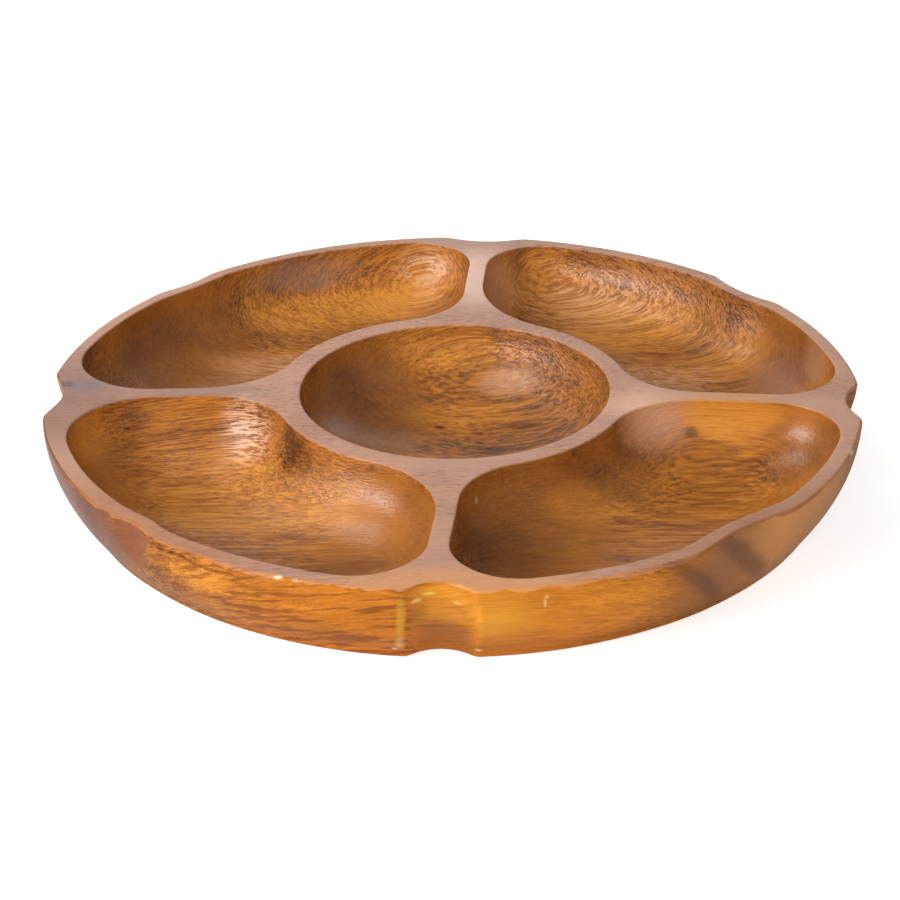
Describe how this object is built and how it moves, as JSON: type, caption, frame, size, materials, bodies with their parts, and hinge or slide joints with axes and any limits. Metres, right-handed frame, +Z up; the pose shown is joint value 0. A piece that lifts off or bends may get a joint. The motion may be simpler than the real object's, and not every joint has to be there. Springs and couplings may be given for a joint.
{
  "type": "sectioned nut dish",
  "caption": "Round carved wooden serving dish with a middle bowl ringed by petal-shaped wells, flat sanded rim and ribs, scooped outer wall, for nuts and snacks.",
  "frame": {"origin": "middle of the flat underside", "axes": "+Z up out of the wells, +X along the grain and the boards, -Y towards the front of the dish"},
  "size_m": [0.3043, 0.3046, 0.033],
  "materials": {
    "amber_wood": "oiled satin",
    "brown_wood": "oiled satin",
    "glue_film": "set wood glue"
  },
  "bodies": {
    "root": {"front_rim_stave": "amber_wood", "front_well_stave": "brown_wood", "front_bowl_stave": "brown_wood", "middle_stave": "brown_wood", "back_bowl_stave": "brown_wood", "back_well_stave": "brown_wood", "back_rim_stave": "brown_wood", "front_rim_glue_line": "glue_film", "front_well_glue_line": "glue_film", "front_bowl_glue_line": "glue_film", "back_bowl_glue_line": "glue_film", "back_well_glue_line": "glue_film", "back_rim_glue_line": "glue_film"}
  },
  "joints": []
}
